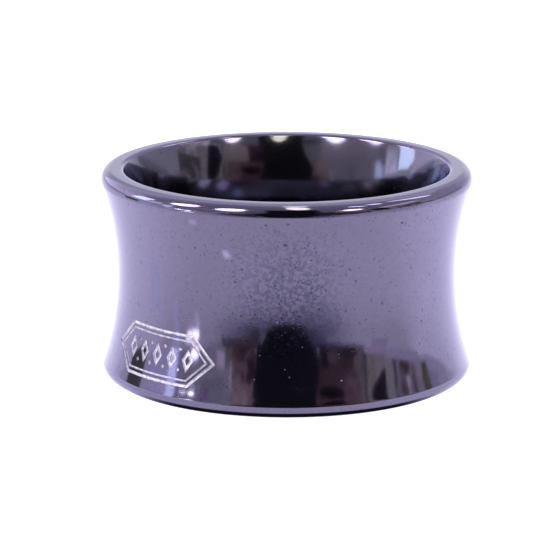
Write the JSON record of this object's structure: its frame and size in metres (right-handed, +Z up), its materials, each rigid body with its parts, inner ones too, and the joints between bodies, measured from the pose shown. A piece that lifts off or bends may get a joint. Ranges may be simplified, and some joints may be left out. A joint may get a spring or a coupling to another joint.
{
  "type": "titanium band ring",
  "caption": "Wide polished metal finger ring with a hollowed outer face, rounded rims, an eased finger hole and a small engraved ornament, lying on its side.",
  "frame": {"origin": "centre of the lower rim face, on the surface that the ring lies on", "axes": "+Z up along the finger axis; -Y towards the side that the picture shows; the ornament is on the -X -Y side"},
  "size_m": [0.0212, 0.0212, 0.012],
  "materials": {
    "band": "mirror-polished dark titanium with fine wear marks, engraved lines matt and paler"
  },
  "bodies": {
    "root": {"band": "band"}
  },
  "joints": []
}
